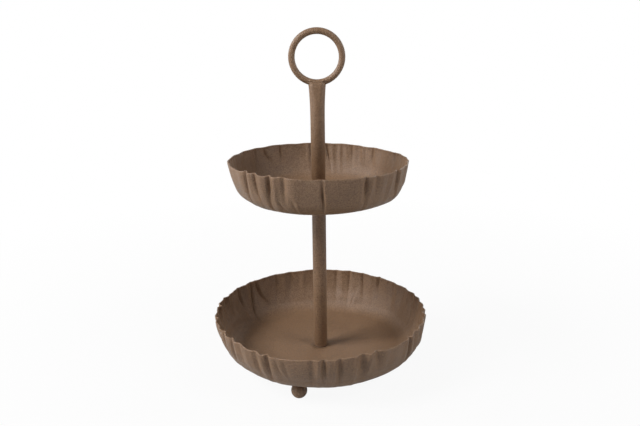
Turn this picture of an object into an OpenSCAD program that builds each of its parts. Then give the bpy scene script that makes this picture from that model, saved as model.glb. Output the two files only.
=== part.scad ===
// Two-tier etagere: two crinkled sheet trays on a screwed centre post with a ring handle.
// Z points up, the three ball feet stand on z = 0 and the post is the Z axis.
// The photographed front looks along +Y, so the front of the object is its -Y side.

/* [Lower tray] */
// Mean rim diameter of the lower tray
lower_rim_d = 279; // [240:1:340]
// Height of the lower tray from its underside to its mean rim
lower_depth = 53.4; // [40:0.2:70]
// Diameter of the flat floor, measured outside
lower_floor_d = 210; // [190:1:224]
// Radius of the corner between floor and wall, measured outside
lower_corner_r = 25; // [12:1:36]
// How far the wall bows outwards between corner and rim
lower_bow = 1.8; // [0:0.1:5]

/* [Upper tray] */
// Mean rim diameter of the upper tray
upper_rim_d = 226.4; // [190:1:280]
// Height of the upper tray from its underside to its mean rim
upper_depth = 47.4; // [36:0.2:60]
// Diameter of the flat floor, measured outside
upper_floor_d = 164; // [140:1:176]
// Radius of the corner between floor and wall, measured outside
upper_corner_r = 25; // [10:1:32]
// How far the wall bows outwards between corner and rim
upper_bow = 0.8; // [0:0.1:5]

/* [Sheet and crinkles] */
// Thickness of the tray sheet with its coating
sheet_t = 1.2; // [0.8:0.1:2]
// Strength of the pressed folds, 1 is as photographed
fold_strength = 1; // [0:0.05:1.3]
// Height of the small ripples between the folds
ripple_h = 0.25; // [0:0.05:0.8]
// Rise and fall of the rim edge
rim_wave_h = 0.5; // [0:0.1:1.5]

/* [Post] */
// Outer diameter of both post tubes
tube_d = 18; // [16:0.5:24]
// Wall of the post tubes
tube_wall = 1.5; // [1:0.1:2]
// Length of the tube between the trays
lower_stem_len = 208; // [150:1:260]
// Length of the handle tube up to the middle of the ring's rod
handle_tube_len = 141.7; // [110:0.1:180]
// Height of the flattened, flared part of the handle tube
flare_len = 50; // [35:1:70]
// Thickness of the washers that protect the coating
gasket_t = 0.8; // [0.5:0.1:1.5]
// How far those washers stand out past the tube
gasket_lip = 0.2; // [0:0.1:1]

/* [Ring handle] */
// Diameter of the ring, measured to the middle of its rod
ring_d = 61.4; // [50:0.2:80]
// Diameter of the ring's rod
ring_rod_d = 8; // [6:0.5:9]
// Width of the weld beads on the ring
bead_w = 2.6; // [1.5:0.1:3.5]

/* [Threads and fasteners] */
// Major diameter of the stud and of the base bolt
thread_d = 6; // [5:1:8]
// Rise of the handle for each turn of its thread
thread_pitch = 1; // [0.8:0.05:1.25]
// Length of the threaded plugs inside the tubes
plug_len = 14; // [10:0.5:20]
// How far the stud stands in the plug of the handle
stud_grip = 10; // [6:0.5:12]
// How far the stud is screwed into the plug of the lower tube
stud_root = 11; // [6:0.5:13]
// Length of the base bolt under its head
bolt_len = 13; // [8:0.5:16]
// Diameter of the base bolt's head
bolt_head_d = 11; // [9:0.5:14]
// Height of the base bolt's head
bolt_head_h = 3.6; // [3:0.2:5]
// Width across flats of the hexagon socket in that head
socket_af = 4; // [3:0.5:5]
// Diameter of the washer under the base bolt
washer_d = 20; // [14:0.5:30]
// Thickness of the washer under the base bolt
washer_t = 1.6; // [1:0.1:2.5]

/* [Feet] */
// Diameter of the ball feet
ball_d = 20; // [14:1:26]
// How much of each ball is ground flat where it stands
ball_flat = 0.2; // [0.1:0.05:0.6]
// Distance of the feet from the post
foot_circle_r = 99; // [80:0.5:100]
// Gap between ball and tray that the weld neck fills
neck_gap = 1.8; // [1.2:0.1:4]
// Diameter of the weld neck at its waist
neck_d = 5; // [4:0.5:8]
// Direction of the first foot, seen from above
first_foot_az = 254; // [0:1:359]

/* [Hidden] */

$fn = 64;

// Colours
coat_colour = "#74604f";
steel_colour = "#b9b6ae";
rubber_colour = "#3b342e";

// Clearances, each on the radius
thread_gap = 0.05;
slip_gap = 0.1;
plug_gap = 0.02;
weld_gap = 0.03;
mouth_gap = 0.25;
saddle_gap = 0.1;
// Gap between the weld beads and the straight pieces of the mouth's edge
bead_gap = 0.1;
eps = 0.01;

// Directions round the tray at which its outline is computed, and steps along its section
around_n = 240;
wall_n = 5;
corner_n = 4;
// Share of the section's length that the wall takes, the rest is the corner
wall_share = 0.72;

// Heights, from the floor up
ball_z = ball_d / 2 - ball_flat;
lower_under_z = ball_z + ball_d / 2 + neck_gap;
lower_floor_z = lower_under_z + sheet_t;
stem_z = lower_floor_z + gasket_t;
stem_top_z = stem_z + lower_stem_len;
upper_under_z = stem_top_z + gasket_t;
upper_floor_z = upper_under_z + sheet_t;
handle_z = upper_floor_z + gasket_t;
ring_r = ring_d / 2;
ring_z = handle_z + handle_tube_len + ring_r;

// Bores
tube_bore_r = tube_d / 2 - tube_wall;
plug_r = tube_bore_r - plug_gap;
tap_r = thread_d / 2 + thread_gap;
pass_r = thread_d / 2 + slip_gap;
gasket_r = tube_d / 2 + gasket_lip;
// Depth of the thread as a share of its pitch, which sets the chamfers on threaded ends
thread_share = 0.6;
thread_depth = thread_share * thread_pitch;
// Rounding of the base bolt's head and depth of its socket, as shares of the head's height
head_round = 0.45;
socket_share = 0.7;
// Radius of the weld neck's upper flare as a share of its gap
neck_flare = 0.7;

// Sides of the ring, and of small rounded sections
ring_sides = 128;
small_sides = 32;

// The tube's mouth is pressed flat until its inside just takes the ring's rod,
// and its width follows because the sheet round it keeps its length
mouth_in = ring_rod_d + 2 * mouth_gap;
mouth_depth = mouth_in + 2 * tube_wall;
mouth_w = mouth_depth + PI / 2 * (tube_d - mouth_depth);
tube_sides = 56;
flare_steps = 9;
// How sharply the tube widens towards the mouth
flare_power = 2.5;
// Height of the mouth, in which the edge is cut to the ring, down to a margin below the rod
mouth_margin = 1.5;
mouth_h = ring_rod_d / 2 + mouth_margin;
// Half the turn of the round tube's outline that is pulled out into each flat side of the mouth
flat_turn = 17;
// Step inside the tube where the round bore ends and the flare begins
bore_step = 0.1;

foot_gap_az = 120;

// Folds of each wall, outwards where the depth is positive: [direction at the rim, depth, half width
// in degrees, lean from rim to floor in degrees, middle and half length as shares of the section]
LOWER_FOLDS = [
    [4, 1.0, 1.6, 0, 0.2, 0.5], [8, -1.2, 1.4, 0, 0.2, 0.6], [12.5, 1.5, 1.5, -2, 0.2, 0.5],
    [15.8, -1.1, 1.2, -3, 0.2, 0.5], [19.4, 1.9, 1.5, -5, 0.35, 0.6], [24, -1.3, 1.4, -4, 0.2, 0.5],
    [28.4, 1.3, 1.2, 0, 0.1, 0.3], [30.8, 1.3, 1.2, -4, 0.35, 0.25], [35, -1.4, 1.6, -3, 0.25, 0.5],
    [38.8, 1.9, 1.1, -2, 0.25, 0.25], [44, -1.3, 1.9, -3, 0.25, 0.5], [50.6, 3.5, 1.2, -2, 0.1, 0.35],
    [56.5, -1.7, 1.8, -3, 0.25, 0.5], [61.9, 2.5, 1.0, -4, 0.35, 0.5], [62.1, -2.2, 0.9, 6, 0.66, 0.22],
    [64.6, -1.4, 0.8, 6, 0.74, 0.14], [70.8, 2.6, 1.3, 0, 0.3, 0.45], [75.5, -1.6, 1.6, 0, 0.3, 0.5],
    [79.2, 2.0, 1.5, 0, 0.3, 0.5], [87, -0.9, 2.2, 0, 0.3, 0.5], [94, 0.9, 2.0, 0, 0.3, 0.5],
    [101, -1.6, 1.7, 2, 0.3, 0.5], [109, 2.2, 1.7, 3, 0.35, 0.45], [113.5, -1.4, 1.6, 3, 0.3, 0.5],
    [119, 2.3, 1.5, 3, 0.35, 0.45], [125.5, -1.6, 1.7, 2, 0.3, 0.5], [133.8, 2.9, 1.4, -12, 0.35, 0.35],
    [137.6, 4.3, 1.0, 3.5, 0.5, 0.5], [142.5, -2.0, 1.4, 0, 0.2, 0.5],
    [148.8, 2.6, 1.4, -5, 0.35, 0.35], [155, -1.3, 2.0, 0, 0.3, 0.6], [160.4, -1.7, 1.2, 0, 0.1, 0.4],
    [163.8, 2.3, 1.4, 0, 0.1, 0.35], [167.6, 2.2, 1.5, 0, 0.45, 0.35], [171, 1.7, 1.5, 0, 0.1, 0.3],
    [174.5, -3.5, 1.0, 0, 0.05, 0.3], [176.5, 2.3, 1.4, 3, 0.4, 0.4], [182, -1.3, 1.6, 0, 0.3, 0.5],
    [186.5, 1.3, 1.6, -2, 0.2, 0.5], [190.5, -2.6, 0.9, -2, 0.1, 0.35], [195, 1.4, 1.7, -3, 0.2, 0.6],
    [200, -1.2, 1.5, -3, 0.25, 0.6], [204, 1.0, 1.9, -3, 0.3, 0.6], [208.6, -3.0, 1.05, -4, 0.15, 0.4],
    [213.2, 1.1, 1.7, -4, 0.3, 0.6], [217.9, -3.6, 1.1, -5, 0.3, 0.5], [221.2, 1.2, 1.4, -3, 0.3, 0.6],
    [224.9, -1.5, 1.4, 0, 0.2, 0.4], [229.4, 1.3, 2.0, 0, 0.4, 0.6], [235.5, -3.6, 1.6, 1, 0.35, 0.4],
    [239.0, 1.7, 1.2, 1, 0.4, 0.6], [242.1, -5.2, 1.25, 0.5, 0.35, 0.42],
    [245.6, 1.7, 1.8, 2, 0.4, 0.5], [247.6, -0.9, 0.9, 9, 0.35, 0.3], [249.5, 0.7, 1.2, 6, 0.4, 0.4],
    [252, -0.9, 1.1, 3, 0.35, 0.4], [256, 0.5, 2.0, 1, 0.4, 0.4], [264.5, -0.4, 1.6, 0, 0.3, 0.4],
    [268.6, 1.5, 1.3, -0.5, 0.35, 0.5], [272.2, -3.0, 1.0, -0.5, 0.35, 0.4],
    [275.2, 0.9, 1.3, 0, 0.4, 0.45], [279.9, -2.6, 1.1, 1.0, 0.4, 0.4],
    [288.9, 2.0, 1.1, -1.5, 0.5, 0.5], [292.8, -4.4, 1.8, 0.5, 0.25, 0.42],
    [298, 1.5, 1.4, 2, 0.3, 0.5], [302.4, -1.6, 1.4, 3, 0.05, 0.3], [307, 0.9, 2.0, 1, 0.25, 0.4],
    [313, -0.5, 2.0, 1, 0.25, 0.5], [319.5, 1.1, 1.5, 2, 0.3, 0.5], [324.2, -3.2, 1.15, 6, 0.3, 0.5],
    [328.3, 1.7, 1.7, 6, 0.3, 0.6], [334, -1.6, 1.5, 4, 0.3, 0.6], [339.5, 1.4, 1.7, 3, 0.25, 0.6],
    [345.5, -1.3, 1.4, 2, 0.2, 0.6], [350, 1.6, 1.3, 0, 0.1, 0.5], [353.4, -1.9, 1.0, 0, 0.05, 0.4],
    [357, 1.0, 1.4, 0, 0.2, 0.5], [360, -1.0, 1.2, 0, 0.2, 0.5]];
UPPER_FOLDS = [
    [6, 0.8, 1.8, 0, 0.25, 0.5], [13, -0.9, 1.7, 0, 0.25, 0.5], [19, 0.8, 1.6, 0, 0.3, 0.5],
    [24.6, 2.4, 1.2, -4, 0.2, 0.35], [31, -0.9, 1.8, 0, 0.3, 0.5], [39, 0.8, 1.8, 0, 0.3, 0.45],
    [47.2, 2.4, 1.2, -2, 0.3, 0.35], [52, -0.7, 1.4, -2, 0.35, 0.4], [55.4, -1.9, 1.4, -3, 0.3, 0.45],
    [60, 0.8, 1.4, -3, 0.35, 0.4], [64.4, 1.9, 1.3, -3, 0.3, 0.4], [69, -1.0, 1.5, -2, 0.35, 0.4],
    [73.8, -1.8, 1.3, -2, 0.35, 0.4], [79.6, -1.6, 1.3, -3, 0.4, 0.4], [83.4, 3.4, 1.0, -6, 0.35, 0.35],
    [90, -0.5, 1.8, 0, 0.35, 0.4], [97.5, -1.7, 1.0, 0, 0.35, 0.4], [104, 0.6, 2.2, 0, 0.35, 0.4],
    [111, -0.6, 2.0, 0, 0.35, 0.4], [118.8, 2.8, 1.2, 0, 0.3, 0.3], [126, -0.7, 1.8, 0, 0.35, 0.4],
    [132.4, 2.4, 1.4, -18, 0.25, 0.25], [140.4, 2.4, 1.2, 1, 0.35, 0.35],
    [147, -0.7, 1.8, 0, 0.35, 0.4], [153, 0.8, 1.6, 0, 0.35, 0.4], [159, -0.8, 1.6, 0, 0.35, 0.4],
    [165, 0.8, 1.8, 0, 0.3, 0.5], [173, -0.9, 1.7, 0, 0.25, 0.5], [183, 1.2, 4.0, 0, 0.0, 0.4],
    [191, -0.5, 2.0, -1, 0.3, 0.5], [200, 0.5, 2.6, -1, 0.3, 0.5], [208, -0.5, 2.4, -1, 0.3, 0.6],
    [215, 0.9, 2.4, -1, 0.25, 0.6], [217.4, 0.7, 1.4, -2, 0.25, 0.6], [220.8, -4.0, 1.05, -3, 0.3, 0.5],
    [224.6, 1.5, 1.5, -1, 0.3, 0.6], [228.8, -4.2, 1.2, 2.5, 0.3, 0.45],
    [234.2, 1.4, 2.0, 1, 0.4, 0.55], [239.3, -5.4, 1.25, -2.5, 0.35, 0.55],
    [243.8, 2.0, 1.7, -2, 0.4, 0.6], [248.4, -2.9, 1.7, -1, 0.2, 0.45],
    [253.8, 1.1, 2.0, 1, 0.25, 0.45], [259, -0.6, 2.2, 0, 0.2, 0.45], [233.8, -3.4, 1.0, 20, 0.8, 0.11],
    [249.9, -3.0, 0.9, 8, 0.8, 0.11], [252.4, 2.2, 0.9, 8, 0.82, 0.11], [261, 1.2, 1.1, 2, 0.86, 0.1],
    [272.2, -4.0, 0.75, 1.6, 0.55, 0.35], [273.9, 2.2, 0.9, 1.4, 0.55, 0.45],
    [279, -0.4, 1.4, 0, 0.8, 0.2], [285, 0.4, 1.4, 0, 0.8, 0.2], [296, 1.0, 1.4, 0, 0.4, 0.5],
    [299.2, -4.8, 1.3, 1.5, 0.25, 0.4], [302.9, 1.5, 1.3, 0, 0.4, 0.5],
    [306.6, -2.3, 1.6, 2, 0.15, 0.4], [311.5, 1.0, 1.7, 1, 0.4, 0.5], [316.6, -1.1, 1.3, 0, 0.4, 0.5],
    [320.6, 1.1, 1.4, -1, 0.4, 0.5], [325.6, -4.2, 1.4, 4, 0.35, 0.5], [328.9, 2.4, 1.1, 4, 0.35, 0.5],
    [338.5, -1.4, 1.5, 2, 0.25, 0.5], [344, 1.0, 1.6, 2, 0.25, 0.5], [350, -1.1, 1.5, 1, 0.25, 0.5],
    [356, 0.8, 1.7, 0, 0.25, 0.5]];

// Ripples between the folds: [waves round the tray, share of the height, phase]
RIPPLES = [[13, 0.5, 20], [23, 0.6, 130], [41, 0.4, 250]];
// Rise and fall of the rim: [waves round the tray, share of the height, phase]
RIM_WAVES = [[5, 0.4, 60], [14, 0.5, 200], [27, 0.4, 310]];

// How the rim of each hand-bent tray strays from level: [direction, rise, half width in degrees]
LOWER_RIM = [
    [95, 2.9, 60], [208.6, 0.9, 1.4], [217.9, 0.8, 1.6], [226, 1.6, 4], [236, 1.5, 2.5],
    [243, -3.9, 22], [242.1, 1.2, 1.5], [265, 1.0, 4], [275, -1.8, 14], [309, -2.4, 11], [324, -1.2, 4],
    [334, 1.5, 6]];
UPPER_RIM = [
    [122, 1.2, 30], [180, 0.9, 30], [220.8, 0.9, 1.6], [226, 1.2, 14], [228.8, 0.8, 1.5],
    [239.3, 1.1, 1.7], [247.4, 0.6, 1.8], [252, 1.3, 14], [312, -1.7, 30], [40, -1.6, 40]];
// How its wall bulges: [direction, share down the section, push, half width in degrees, half height]
LOWER_BULGES = [
    [226, 0.88, -2.2, 14, 0.2], [262, 0.90, -1.6, 14, 0.2], [300, 0.90, -1.4, 16, 0.2],
    [335, 0.60, 2.2, 16, 0.3], [352, 0.60, 2.5, 14, 0.25], [350, 0.95, -5.0, 16, 0.15],
    [30, 0.85, 1.8, 16, 0.25], [75, 0.85, -2.2, 20, 0.2], [120, 0.70, 1.6, 18, 0.3],
    [165, 0.85, -2.0, 16, 0.2]];
UPPER_BULGES = [
    [208, 0.88, -3.0, 14, 0.2], [235, 0.88, -1.7, 14, 0.2], [335, 0.85, 2.6, 12, 0.2],
    [352, 0.60, 1.8, 14, 0.2], [352, 0.90, -2.2, 14, 0.2], [40, 0.80, 1.4, 18, 0.25],
    [90, 0.88, -1.8, 20, 0.2], [150, 0.75, 1.2, 18, 0.3]];

function total(list) = len(list) == 0 ? 0 : list * [for (item = list) 1];
function near_turn(angle) = angle - 360 * round(angle / 360);
function swell(angle, half_width) = exp(-pow(near_turn(angle) / half_width, 2));
function waves(az, rows) = total([for (row = rows) row[1] * sin(row[0] * az + row[2])]);

// Bump along the section, 1 at its middle
function along(down, middle, half) = exp(-pow((down - middle) / half, 2));
// Push of the folds at a share down the section, 0 at the rim and 1 at the flat floor
function fold_push(az, down, folds) = fold_strength * sqrt(1 - down) * total([for (row = folds)
    row[1] * along(down, row[4], row[5]) * swell(az - row[0] - row[3] * pow(down, 2), row[2])]);
function bulge_push(az, down, bulges) = total([for (row = bulges)
    row[2] * along(down, row[1], row[4]) * swell(az - row[0], row[3])]);
function ripple_push(az, down) = ripple_h * (1 - down) * waves(az, RIPPLES);
function crinkle(az, down, folds, bulges) =
    fold_push(az, down, folds) + bulge_push(az, down, bulges) + ripple_push(az, down);
// Rise of the rim, which fades down the section
function rim_rise(az, bends) = rim_wave_h * waves(az, RIM_WAVES)
    + total([for (row = bends) row[1] * swell(az - row[0], row[2])]);

// Section of a tray as [radius, height, share down the wall], from the rim to the flat floor.
// The wall is a slightly bowed line that runs into the corner arc without a break.
function lean_of(rim_r, depth, floor_r, corner_r) =
    let (dx = rim_r - floor_r, dz = depth - corner_r)
    atan2(dz, dx) + asin(corner_r / norm([dx, dz]));
function section(rim_r, depth, floor_r, corner_r, bow, inset) =
    let (
        lean = lean_of(rim_r, depth, floor_r, corner_r),
        arc_r = corner_r - inset,
        out = [sin(lean), -cos(lean)],
        foot = [floor_r, corner_r] + corner_r * out,
        rim = [rim_r, depth]
    )
    concat(
        [for (k = [0 : wall_n])
            let (
                share = k / wall_n,
                place = rim + (foot - rim) * share + out * (4 * bow * share * (1 - share) - inset)
            )
            [place[0], place[1], wall_share * share]],
        [for (k = [1 : corner_n])
            let (
                share = k / corner_n,
                turn = lean * (1 - share)
            )
            [floor_r + arc_r * sin(turn), corner_r - arc_r * cos(turn),
                wall_share + (1 - wall_share) * share]]
    );

// One closed ring of points at a step of the section, pushed in and out by the folds
function tray_ring(step, folds, bulges, rises) = [for (i = [0 : around_n - 1])
    let (
        az = i * 360 / around_n,
        reach = step[0] + crinkle(az, step[2], folds, bulges),
        lift = pow(1 - step[2], 2) * rises[i]
    )
    [reach * cos(az), reach * sin(az), step[1] + lift]];

// A tray sheet: the outer section down to the floor, and the inner section back up to the rim
module tray_sheet(rim_r, depth, floor_r, corner_r, bow, folds, bulges, bends) {
    outer = section(rim_r, depth, floor_r, corner_r, bow, 0);
    inner = section(rim_r, depth, floor_r, corner_r, bow, sheet_t);
    rows = len(outer);
    steps = concat([for (k = [rows - 1 : -1 : 0]) outer[k]], inner);
    rings = len(steps);
    rises = [for (i = [0 : around_n - 1]) rim_rise(i * 360 / around_n, bends)];
    points = [for (step = steps) each tray_ring(step, folds, bulges, rises)];
    under_cap = [for (i = [0 : around_n - 1]) i];
    floor_cap = [for (i = [around_n - 1 : -1 : 0]) (rings - 1) * around_n + i];
    skin = [for (k = [0 : rings - 2], i = [0 : around_n - 1])
        let (
            next = (i + 1) % around_n,
            a = k * around_n + i,
            b = k * around_n + next,
            c = (k + 1) * around_n + next,
            d = (k + 1) * around_n + i
        )
        each [[a, c, b], [a, d, c]]];
    polyhedron(points, concat([under_cap, floor_cap], skin), convexity = 6);
}

module tray(under_z, rim_d, depth, floor_d, corner_r, bow, folds, bulges, bends) {
    difference() {
        translate([0, 0, under_z])
            tray_sheet(rim_d / 2, depth, floor_d / 2, corner_r, bow, folds, bulges, bends);
        translate([0, 0, under_z - eps])
            cylinder(r = pass_r, h = sheet_t + 2 * eps);
    }
}

module lower_tray() {
    color(coat_colour)
        tray(lower_under_z, lower_rim_d, lower_depth, lower_floor_d, lower_corner_r, lower_bow,
            LOWER_FOLDS, LOWER_BULGES, LOWER_RIM);
}

module upper_tray() {
    color(coat_colour)
        tray(upper_under_z, upper_rim_d, upper_depth, upper_floor_d, upper_corner_r, upper_bow,
            UPPER_FOLDS, UPPER_BULGES, UPPER_RIM);
}

// Straight tube between the trays
module lower_stem() {
    color(coat_colour)
        translate([0, 0, stem_z])
            difference() {
                cylinder(d = tube_d, h = lower_stem_len);
                translate([0, 0, -eps])
                    cylinder(r = tube_bore_r, h = lower_stem_len + 2 * eps);
            }
}

// Threaded plug that closes a tube's end, drawn with its lower face on z = 0
module plug() {
    color(steel_colour)
        rotate_extrude()
            polygon([
                [tap_r + thread_depth, 0],
                [plug_r, 0],
                [plug_r, plug_len],
                [tap_r + thread_depth, plug_len],
                [tap_r, plug_len - thread_depth],
                [tap_r, thread_depth]
            ]);
}

// Threaded rod with chamfered ends, from z = 0 up
module threaded_rod(length) {
    rotate_extrude()
        polygon([
            [0, 0],
            [thread_d / 2 - thread_depth, 0],
            [thread_d / 2, thread_depth],
            [thread_d / 2, length - thread_depth],
            [thread_d / 2 - thread_depth, length],
            [0, length]
        ]);
}

module stem_bottom_plug() {
    translate([0, 0, stem_z])
        plug();
}

module stem_top_plug() {
    translate([0, 0, stem_top_z - plug_len])
        plug();
}

module handle_plug() {
    translate([0, 0, handle_z])
        plug();
}

// Stud that stands in the lower tube, passes the upper tray and takes the handle
module centre_stud() {
    stud_z = stem_top_z - stud_root;
    stud_len = handle_z + stud_grip - stud_z;
    color(steel_colour)
        translate([0, 0, stud_z])
            threaded_rod(stud_len);
}

// Washer that keeps a tube's end off the coated sheet, with its lower face on z = 0
module gasket() {
    color(rubber_colour)
        difference() {
            cylinder(r = gasket_r, h = gasket_t);
            translate([0, 0, -eps])
                cylinder(r = pass_r, h = gasket_t + 2 * eps);
        }
}

module lower_gasket() {
    translate([0, 0, lower_floor_z])
        gasket();
}

module upper_gasket() {
    translate([0, 0, stem_top_z])
        gasket();
}

module handle_gasket() {
    translate([0, 0, upper_floor_z])
        gasket();
}

// Outline of the handle tube at a share of its flare, as a rounded bar that keeps its length round
function half_depth(share, inset) = (tube_d + (mouth_depth - tube_d) * share) / 2 - inset;
function half_flat(share) = PI / 4 * (tube_d - mouth_depth) * share;
function outline_at(share, inset, i) =
    let (
        az = (i + 0.5) * 360 / tube_sides,
        side = max(-1, min(1, cos(az) / sin(flat_turn)))
    )
    [side * half_flat(share) + half_depth(share, inset) * cos(az), half_depth(share, inset) * sin(az)];

// Height of the mouth's edge: along the middle of the ring's rod in front of it and behind it,
// and just under the rod where it passes out through the narrow ends
function saddle_z(i) =
    let (
        inside = outline_at(1, tube_wall, i),
        rod_z = ring_r - sqrt(pow(ring_r, 2) - pow(inside[0], 2)),
        under = sqrt(max(0, pow(ring_rod_d / 2 + saddle_gap, 2) - pow(inside[1], 2)))
    )
    handle_tube_len + rod_z - under * ring_r / sqrt(pow(ring_r, 2) - pow(inside[0], 2));

// Height and share of the flare at a step from the end of the round bore up to the mouth
flare_z = handle_tube_len - flare_len;
function step_z(step) = flare_z + (flare_len - mouth_h) * step / flare_steps;
function step_share(step) = pow((step_z(step) - flare_z) / flare_len, flare_power);
function tube_ring(step, inset) = [for (i = [0 : tube_sides - 1])
    let (spot = outline_at(step_share(step), inset, i))
    [spot[0], spot[1], step_z(step)]];
function foot_ring() = [for (i = [0 : tube_sides - 1])
    let (spot = outline_at(0, 0, i))
    [spot[0], spot[1], 0]];
function mouth_ring(inset) = [for (i = [0 : tube_sides - 1])
    let (spot = outline_at(1, inset, i))
    [spot[0], spot[1], saddle_z(i)]];

// Handle tube without its round bore: outside up to the mouth, and inside down to the bore's end
module flared_tube() {
    rings = concat(
        [foot_ring()],
        [for (step = [0 : flare_steps]) tube_ring(step, 0)],
        [mouth_ring(0), mouth_ring(tube_wall)],
        [for (step = [flare_steps : -1 : 0]) tube_ring(step, tube_wall + (step == 0 ? bore_step : 0))]
    );
    last = len(rings) - 1;
    skin = [for (k = [0 : last - 1], i = [0 : tube_sides - 1])
        let (
            next = (i + 1) % tube_sides,
            a = k * tube_sides + i,
            b = k * tube_sides + next,
            c = (k + 1) * tube_sides + next,
            d = (k + 1) * tube_sides + i
        )
        each [[a, c, b], [a, d, c]]];
    foot_cap = [for (i = [0 : tube_sides - 1]) i];
    inner_cap = [for (i = [tube_sides - 1 : -1 : 0]) last * tube_sides + i];
    polyhedron([for (ring = rings) each ring], concat([foot_cap, inner_cap], skin), convexity = 6);
}

// Handle tube: round at the foot, pressed flat at the mouth, with its edge cut to the ring
module handle_tube() {
    color(coat_colour)
        translate([0, 0, handle_z])
            difference() {
                flared_tube();
                translate([0, 0, -eps])
                    cylinder(r = tube_bore_r, h = flare_z + bore_step + eps);
            }
}

// The ring as a solid, grown by a clearance where it cuts something else
module ring_body(grow) {
    translate([0, 0, ring_z])
        rotate([90, 0, 0])
            rotate_extrude($fn = ring_sides)
                translate([ring_r, 0])
                    circle(d = ring_rod_d + 2 * grow);
}

module handle_ring() {
    color(coat_colour)
        ring_body(0);
}

// Two weld beads that run along the tube's mouth, in front of and behind the ring's rod
module ring_weld() {
    half_arc = asin((mouth_w / 2 - tube_wall) / ring_r);
    bead_y = mouth_in / 2 + tube_wall / 2;
    color(coat_colour)
        translate([0, 0, ring_z])
            rotate([90, 0, 0])
                for (side = [-1, 1])
                    rotate([0, 0, -90 - half_arc])
                        rotate_extrude(angle = 2 * half_arc, $fn = ring_sides)
                            difference() {
                                intersection() {
                                    translate([ring_r - bead_gap, side * bead_y])
                                        circle(d = bead_w, $fn = small_sides);
                                    translate([ring_r - bead_gap - bead_w, side * bead_y - bead_w])
                                        square([bead_w, 2 * bead_w]);
                                }
                                translate([ring_r, 0])
                                    circle(d = ring_rod_d + 2 * weld_gap);
                            }
}

// Base bolt with a domed head and a hexagon socket, put in from beneath
module base_bolt() {
    seat_z = lower_under_z - washer_t;
    edge_r = head_round * bolt_head_h;
    color(steel_colour)
        translate([0, 0, seat_z])
            difference() {
                rotate_extrude()
                    union() {
                        square([thread_d / 2, bolt_len - thread_depth]);
                        square([thread_d / 2 - thread_depth, bolt_len]);
                        translate([0, -bolt_head_h])
                            square([bolt_head_d / 2 - edge_r, bolt_head_h]);
                        translate([0, edge_r - bolt_head_h])
                            square([bolt_head_d / 2, bolt_head_h - edge_r]);
                        translate([bolt_head_d / 2 - edge_r, edge_r - bolt_head_h])
                            circle(r = edge_r, $fn = small_sides);
                    }
                translate([0, 0, -bolt_head_h - eps])
                    cylinder(d = socket_af / cos(30), h = socket_share * bolt_head_h, $fn = 6);
            }
}

module base_washer() {
    color(steel_colour)
        translate([0, 0, lower_under_z - washer_t])
            difference() {
                cylinder(d = washer_d, h = washer_t);
                translate([0, 0, -eps])
                    cylinder(r = pass_r, h = washer_t + 2 * eps);
            }
}

// Moves its children to the place of one foot, counted from the front one
module at_foot(count) {
    rotate([0, 0, first_foot_az + count * foot_gap_az])
        translate([foot_circle_r, 0, 0])
            children();
}

module foot_ball() {
    color(coat_colour)
        difference() {
            translate([0, 0, ball_z])
                sphere(d = ball_d);
            translate([0, 0, -ball_d])
                cylinder(d = ball_d, h = ball_d);
        }
}

// Weld neck between ball and tray, with a waist and a hollow where the ball sits
module foot_weld() {
    sink = ball_d / 2 - sqrt(pow(ball_d / 2, 2) - pow(neck_d / 2, 2));
    neck_h = neck_gap + sink;
    flare_r = neck_flare * neck_gap;
    color(coat_colour)
        translate([0, 0, lower_under_z - neck_h])
            difference() {
                rotate_extrude()
                    difference() {
                        square([neck_d / 2 + flare_r, neck_h]);
                        translate([neck_d / 2 + flare_r, neck_h - flare_r])
                            circle(r = flare_r, $fn = small_sides);
                        translate([neck_d / 2, -eps])
                            square([flare_r + eps, neck_h - flare_r + eps]);
                    }
                translate([0, 0, ball_z - lower_under_z + neck_h])
                    sphere(d = ball_d + 2 * weld_gap);
            }
}

module foot_ball_front() {
    at_foot(0)
        foot_ball();
}

module foot_ball_right() {
    at_foot(1)
        foot_ball();
}

module foot_ball_left() {
    at_foot(2)
        foot_ball();
}

module foot_weld_front() {
    at_foot(0)
        foot_weld();
}

module foot_weld_right() {
    at_foot(1)
        foot_weld();
}

module foot_weld_left() {
    at_foot(2)
        foot_weld();
}

lower_tray();
upper_tray();
lower_stem();
stem_bottom_plug();
stem_top_plug();
centre_stud();
lower_gasket();
upper_gasket();
handle_gasket();
handle_tube();
handle_plug();
handle_ring();
ring_weld();
base_bolt();
base_washer();
foot_ball_front();
foot_ball_right();
foot_ball_left();
foot_weld_front();
foot_weld_right();
foot_weld_left();
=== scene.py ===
"""Two-tier etagere: crinkled, powder-coated bowls on a screwed post with a ring handle.

Laid out as an add-on: the sizes and colours are properties, each group of pieces has an operator,
and the panel in the sidebar lists them. All lengths are in metres.
"""
import math

import bmesh
import bpy
import numpy as np
from bpy.props import FloatProperty, FloatVectorProperty, IntProperty, PointerProperty
from mathutils import Matrix, Vector


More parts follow.
